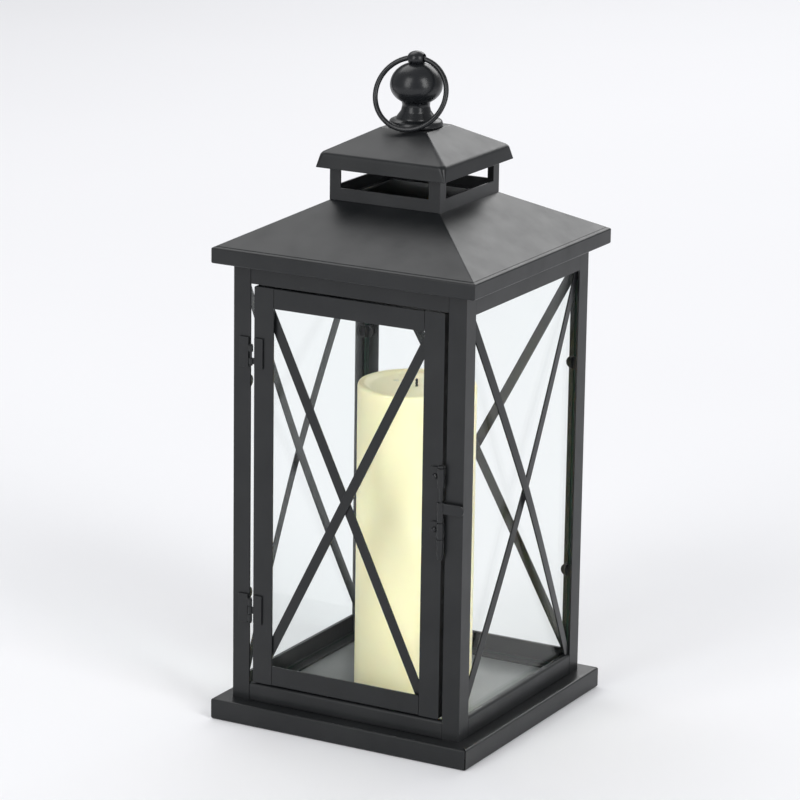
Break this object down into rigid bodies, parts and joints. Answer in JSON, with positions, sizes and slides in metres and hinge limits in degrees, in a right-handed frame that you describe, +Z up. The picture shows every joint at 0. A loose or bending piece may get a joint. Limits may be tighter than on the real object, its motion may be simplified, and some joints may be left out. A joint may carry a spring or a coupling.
{
  "type": "lantern",
  "caption": "Square metal lantern with a hinged glass door, crossed bars, vented roof, finial with ring handle, and an LED pillar candle inside.",
  "frame": {"origin": "centre of the footprint at floor level, which is the bottom centre of the bounding box", "axes": "+Z up, -Y towards the door, +X towards the latch side"},
  "size_m": [0.1838, 0.1838, 0.4244],
  "materials": {
    "black_metal": "satin black powder coat",
    "finial_metal": "smooth black enamel, slightly glossier than the body",
    "pane_glass": "clear float glass with a green edge",
    "candle_wax": "ivory, waxy and slightly see-through",
    "candle_plastic": "ivory moulded plastic",
    "screw_steel": "zinc plated",
    "battery_can": "plain wrapped can",
    "dark_plastic": "matt black",
    "circuit_board": "green laminate",
    "led_lens": "clear warm lens"
  },
  "bodies": {
    "frame": {"base_tray": "black_metal", "post_front_left": "black_metal", "post_front_right": "black_metal", "post_back_right": "black_metal", "post_back_left": "black_metal", "rail_bottom_front": "black_metal", "rail_top_front": "black_metal", "rail_bottom_right": "black_metal", "rail_top_right": "black_metal", "cross_right_outer": "black_metal", "cross_right_inner": "black_metal", "pane_right": "pane_glass", "rail_bottom_back": "black_metal", "rail_top_back": "black_metal", "cross_back_outer": "black_metal", "cross_back_inner": "black_metal", "pane_back": "pane_glass", "rail_bottom_left": "black_metal", "rail_top_left": "black_metal", "cross_left_outer": "black_metal", "cross_left_inner": "black_metal", "pane_left": "pane_glass", "hinge_upper_post_plate": "black_metal", "hinge_upper_pin": "black_metal", "hinge_lower_post_plate": "black_metal", "hinge_lower_pin": "black_metal", "roof": "black_metal", "vent_box": "black_metal", "cap": "black_metal", "finial": "finial_metal", "finial_screw": "screw_steel"},
    "door": {"door_stile_hinge": "black_metal", "door_stile_latch": "black_metal", "door_rail_top": "black_metal", "door_rail_bottom": "black_metal", "door_cross_outer": "black_metal", "door_cross_inner": "black_metal", "door_pane": "pane_glass", "hinge_upper_door_plate": "black_metal", "hinge_lower_door_plate": "black_metal", "latch_bracket_upper": "black_metal", "latch_bracket_lower": "black_metal", "latch_rivet_upper": "finial_metal", "latch_rivet_lower": "finial_metal", "latch_rod": "black_metal"},
    "latch_lever": {"latch_lever": "black_metal"},
    "ring": {"ring_handle": "finial_metal"},
    "candle": {"candle_shell": "candle_wax", "candle_base": "candle_plastic", "battery_1": "battery_can", "battery_2": "battery_can", "battery_3": "battery_can", "led_post": "candle_plastic", "led_board": "circuit_board", "led": "led_lens", "wick": "dark_plastic", "sensor_window": "candle_plastic"},
    "battery_cover": {"battery_cover": "candle_plastic"},
    "switch": {"switch_slider": "dark_plastic"}
  },
  "joints": [
    {"name": "door_swing", "type": "hinge", "parent": "frame", "child": "door", "pos_m": [-0.06815, -0.083, 0.1547], "axis": [0, 0, -1], "range_deg": [0, 165]},
    {"name": "latch_turn", "type": "hinge", "parent": "door", "child": "latch_lever", "pos_m": [0.0674, -0.0841, 0.16], "axis": [0, 0, -1], "range_deg": [0, 170]},
    {"name": "ring_swing", "type": "hinge", "parent": "frame", "child": "ring", "pos_m": [0, 0, 0.41975], "axis": [-0.9903, -0.1392, 0], "range_deg": [0, 308]},
    {"name": "candle_lift", "type": "slide", "parent": "frame", "child": "candle", "axis": [0, 0, 1], "range_m": [0, 0.06]},
    {"name": "battery_cover_twist", "type": "hinge", "parent": "candle", "child": "battery_cover", "pos_m": [0.0032, 0.001, 0.015], "axis": [0, 0, -1], "range_deg": [0, 20]},
    {"name": "switch_slide", "type": "slide", "parent": "candle", "child": "switch", "axis": [0, 1, 0], "range_m": [0, 0.005]}
  ]
}
